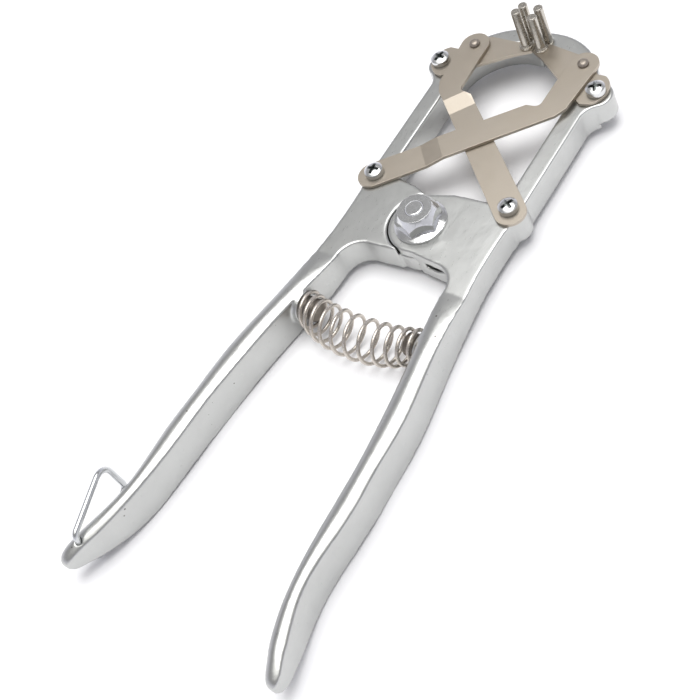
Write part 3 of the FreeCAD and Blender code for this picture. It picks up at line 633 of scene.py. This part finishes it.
class PLIERS_OT_screws(bpy.types.Operator):
    """Make the four cross recessed pan head screws, a pair on each casting"""

    bl_idname = "pliers.screws"
    bl_label = "Pan head screws"

    def execute(self, context):
        made = context.scene.pliers_fasteners
        # the same zinc, a little duller from the driver, with painted shade darkening the cross recess
        zinc = plated_metal(
            "bright_zinc_screw", made.zinc, roughness=0.22, wear=0.12, speck=0.4, painted_recess_shade=0.7)
        tree = headed_pins_tree()
        for side, seed in (("left", 3), ("right", 8)):
            nodes = [f"{side}_jaw_screw", f"{side}_lever_screw"]
            piece = run_tree(f"{side}_pan_screws", tree, {
                "Head radius": made.screw_radius, "Head height": made.screw_height, "Dome": 0.28,
                "Shank radius": made.screw_shank, "Shank length": made.screw_length,
                "Cross recess": True, "Recess length": made.recess,
                "Recess width": made.recess_width, "Recess depth": made.recess_depth,
                "Seed": seed, "Material": zinc}, head_points(nodes, made.screw_height))
            stands_for(piece, f"{side}_side", "plated_hardware", *nodes)
        return {"FINISHED"}


class PLIERS_OT_rivets(bpy.types.Operator):
    """Make the two domed rivets that the levers pull on"""

    bl_idname = "pliers.rivets"
    bl_label = "Jaw rivets"

    def execute(self, context):
        made = context.scene.pliers_fasteners
        # bare steel, closed under a punch: dull warm grey
        steel = plated_metal("plain_steel_rivet", linear("A39A90"), roughness=0.42, wear=0.25, speck=0.3)
        tree = headed_pins_tree()
        for side in ("left", "right"):
            node = f"{side}_jaw_rivet"
            low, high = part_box(node)
            under_head = high.z - low.z - made.rivet_height
            piece = run_tree(f"{side}_domed_rivet", tree, {
                "Head radius": made.rivet_radius, "Head height": made.rivet_height, "Dome": 0.6,
                "Shank radius": made.rivet_shank, "Shank length": under_head, "Cross recess": False,
                "Seed": 1, "Material": steel}, head_points([node], made.rivet_height))
            stands_for(piece, f"{side}_jaw", "rivet_steel", node)
        return {"FINISHED"}


class PLIERS_OT_prongs(bpy.types.Operator):
    """Make the four upright prongs in polished nickel plate"""

    bl_idname = "pliers.prongs"
    bl_label = "Prongs"

    def execute(self, context):
        # polished nickel plate: bright and a little warm
        polished = plated_metal(
            "polished_nickel_prong", linear("C6C1B8"), roughness=0.24, wear=0.12, speck=0.5)
        for side in ("left", "right"):
            for row, body in (("back", f"{side}_side"), ("front", f"{side}_jaw")):
                node = f"{row}_{side}_prong"
                piece = put(broken_edges(node, f"{node}_pin", 0.05 * MM), polished)
                stands_for(piece, body, "polished_prong", node)
        return {"FINISHED"}


class PLIERS_OT_spring(bpy.types.Operator):
    """Wind the barrel spring between the grips and make its two pegs"""

    bl_idname = "pliers.spring"
    bl_label = "Spring and pegs"

    def execute(self, context):
        made = context.scene.pliers_spring
        # drawn wire under nickel plate: a soft warm highlight on each turn
        wire = plated_metal("drawn_nickel_spring_wire", made.steel, roughness=0.3, wear=0.12, speck=0.6)
        low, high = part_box("main_spring")
        span = high.x - low.x - 2 * made.wire
        centre = Vector(((low.x + high.x) / 2, high.y - made.end_radius - made.wire, (low.z + high.z) / 2))
        coil = run_tree("barrel_spring", barrel_spring_tree(), {
            "Turns": made.turns, "Length": span, "End radius": made.end_radius, "Swell": made.swell,
            "Bow": made.bow, "Wire radius": made.wire, "End crowding": 0.3,
            "Centre": centre, "Material": wire})
        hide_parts("main_spring")
        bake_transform(coil)
        # turned steel, as machined: mid grey
        peg_steel = plated_metal("turned_steel_peg", linear("8F8880"), roughness=0.35, wear=0.2, speck=0.5)
        for side in ("left", "right"):
            node = f"{side}_spring_peg"
            piece = put(broken_edges(node, f"{node}_turned", 0.4 * MM), peg_steel)
            stands_for(piece, f"{side}_side", "rivet_steel", node)
        return {"FINISHED"}


class PLIERS_OT_clip(bpy.types.Operator):
    """Give the wire clip a smooth bright zinc wire"""

    bl_idname = "pliers.clip"
    bl_label = "Wire clip"

    def execute(self, context):
        # drawn wire under bright zinc: smooth, cold and shiny
        zinc = plated_metal("bright_zinc_clip_wire", linear("D2D4D5"), roughness=0.2, wear=0.15, speck=0.8)
        piece = put(smooth_by_angle(merged_copy("wire_clip", "bent_wire_clip"), 50), zinc)
        stands_for(piece, "clip", "clip_wire", "wire_clip")
        return {"FINISHED"}


class PLIERS_OT_stage(bpy.types.Operator):
    """Lay the white floor, hang the soft light and set the camera"""

    bl_idname = "pliers.stage"
    bl_label = "Studio"

    def execute(self, context):
        scene, made = context.scene, context.scene.pliers_studio
        scene.view_settings.view_transform = "Standard"
        low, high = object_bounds()
        # a square sheet 12 m across, a hair below the tool
        reach, top = 6, low.z - 0.05 * MM
        corners = ((-reach, -reach), (reach, -reach), (reach, reach), (-reach, reach))
        mesh = bpy.data.meshes.new("studio_floor")
        mesh.from_pydata([(x, y, top) for x, y in corners], [], [(0, 1, 2, 3)])
        floor = put(show("studio_floor", mesh), white_floor(made.floor))
        floor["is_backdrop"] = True

        world = bpy.data.worlds.new("soft_studio")
        scene.world = world
        world.use_nodes = True
        tree = world.node_tree
        tree.nodes.clear()
        ray = add_node(tree, "ShaderNodeTexCoord").outputs["Generated"]
        height = add_node(tree, "ShaderNodeSeparateXYZ", {"Vector": ray}).outputs[2]
        glow = add_node(tree, "ShaderNodeValToRGB", {"Fac": height})
        stops = glow.color_ramp.elements
        # height in the sky, where 1 is straight up, and how bright it is there
        levels = ((0.0, 1.0), (0.28, 0.85), (0.5, 0.42), (0.62, 0.37), (0.8, 0.42), (0.86, 1.1), (1.0, 2.0))
        while len(stops) < len(levels):
            stops.new(0.5)
        for stop, (position, level) in zip(stops, levels):
            stop.position = position
            # the low sky is a little blue and the top of it a little warm
            stop.color = (level * (0.96 + 0.05 * position), level * (0.96 + 0.04 * position),
                          level * (1.07 - 0.10 * position), 1)
        sky = add_node(tree, "ShaderNodeBackground", {"Color": glow, "Strength": 1.0})
        add_node(tree, "ShaderNodeOutputWorld", {"Surface": sky})

        key = bpy.data.lights.new("overhead_softbox", "AREA")
        key.shape = "SQUARE"
        key.size = 1.0
        key.energy = made.key_power
        lamp = bpy.data.objects.new("overhead_softbox", key)
        lamp.location = (-0.02, 0.2, 1.1)
        lamp.rotation_euler = (-lamp.location).to_track_quat("-Z", "Y").to_euler()
        scene.collection.objects.link(lamp)

        view = bpy.data.cameras.new("three_quarter")
        view.sensor_width = 36
        view.lens = 63.55
        view.clip_start = 0.01
        camera = bpy.data.objects.new("three_quarter", view)
        # to the right of the grips and above them, looking down across the tool, with the view rolled
        place = Vector((0.20669, -0.16013, 0.29009))
        look = Vector((-0.5599, 0.3104, -0.7683)).normalized()
        level_right = look.cross(Vector((0, 0, 1))).normalized()
        level_up = level_right.cross(look)
        roll = math.radians(-33.59)
        right = level_right * math.cos(roll) + level_up * math.sin(roll)
        up = right.cross(look)
        turn = Matrix((right, up, -look)).transposed().to_4x4()
        camera.matrix_world = Matrix.Translation(place) @ turn
        scene.collection.objects.link(camera)
        scene.camera = camera
        return {"FINISHED"}


OPERATORS = (
    PLIERS_OT_castings, PLIERS_OT_sheet_parts, PLIERS_OT_pivot, PLIERS_OT_screws, PLIERS_OT_rivets,
    PLIERS_OT_prongs, PLIERS_OT_spring, PLIERS_OT_clip, PLIERS_OT_stage)


class PLIERS_PT_build(bpy.types.Panel):
    """Sidebar panel with every step of the build and its settings"""

    bl_idname = "PLIERS_PT_build"
    bl_label = "Ring Expander Pliers"
    bl_space_type = "VIEW_3D"
    bl_region_type = "UI"
    bl_category = "Pliers"

    def draw(self, context):
        for operator in OPERATORS:
            self.layout.operator(operator.bl_idname)
        for name, group in SETTINGS.items():
            settings = self.layout.box()
            for entry in group.__annotations__:
                settings.prop(getattr(context.scene, name), entry)


def register():
    """Registers the settings, the operators and the panel."""
    for name, group in SETTINGS.items():
        bpy.utils.register_class(group)
        setattr(bpy.types.Scene, name, bpy.props.PointerProperty(type=group))
    for part in (*OPERATORS, PLIERS_PT_build):
        bpy.utils.register_class(part)


def unregister():
    """Takes back everything that register adds."""
    for part in (PLIERS_PT_build, *reversed(OPERATORS)):
        bpy.utils.unregister_class(part)
    for name, group in SETTINGS.items():
        delattr(bpy.types.Scene, name)
        bpy.utils.unregister_class(group)


def main():
    """Runs every operator in order."""
    register()
    for operator in OPERATORS:
        getattr(bpy.ops.pliers, operator.bl_idname.split(".")[1])()


if __name__ == "__main__":
    main()
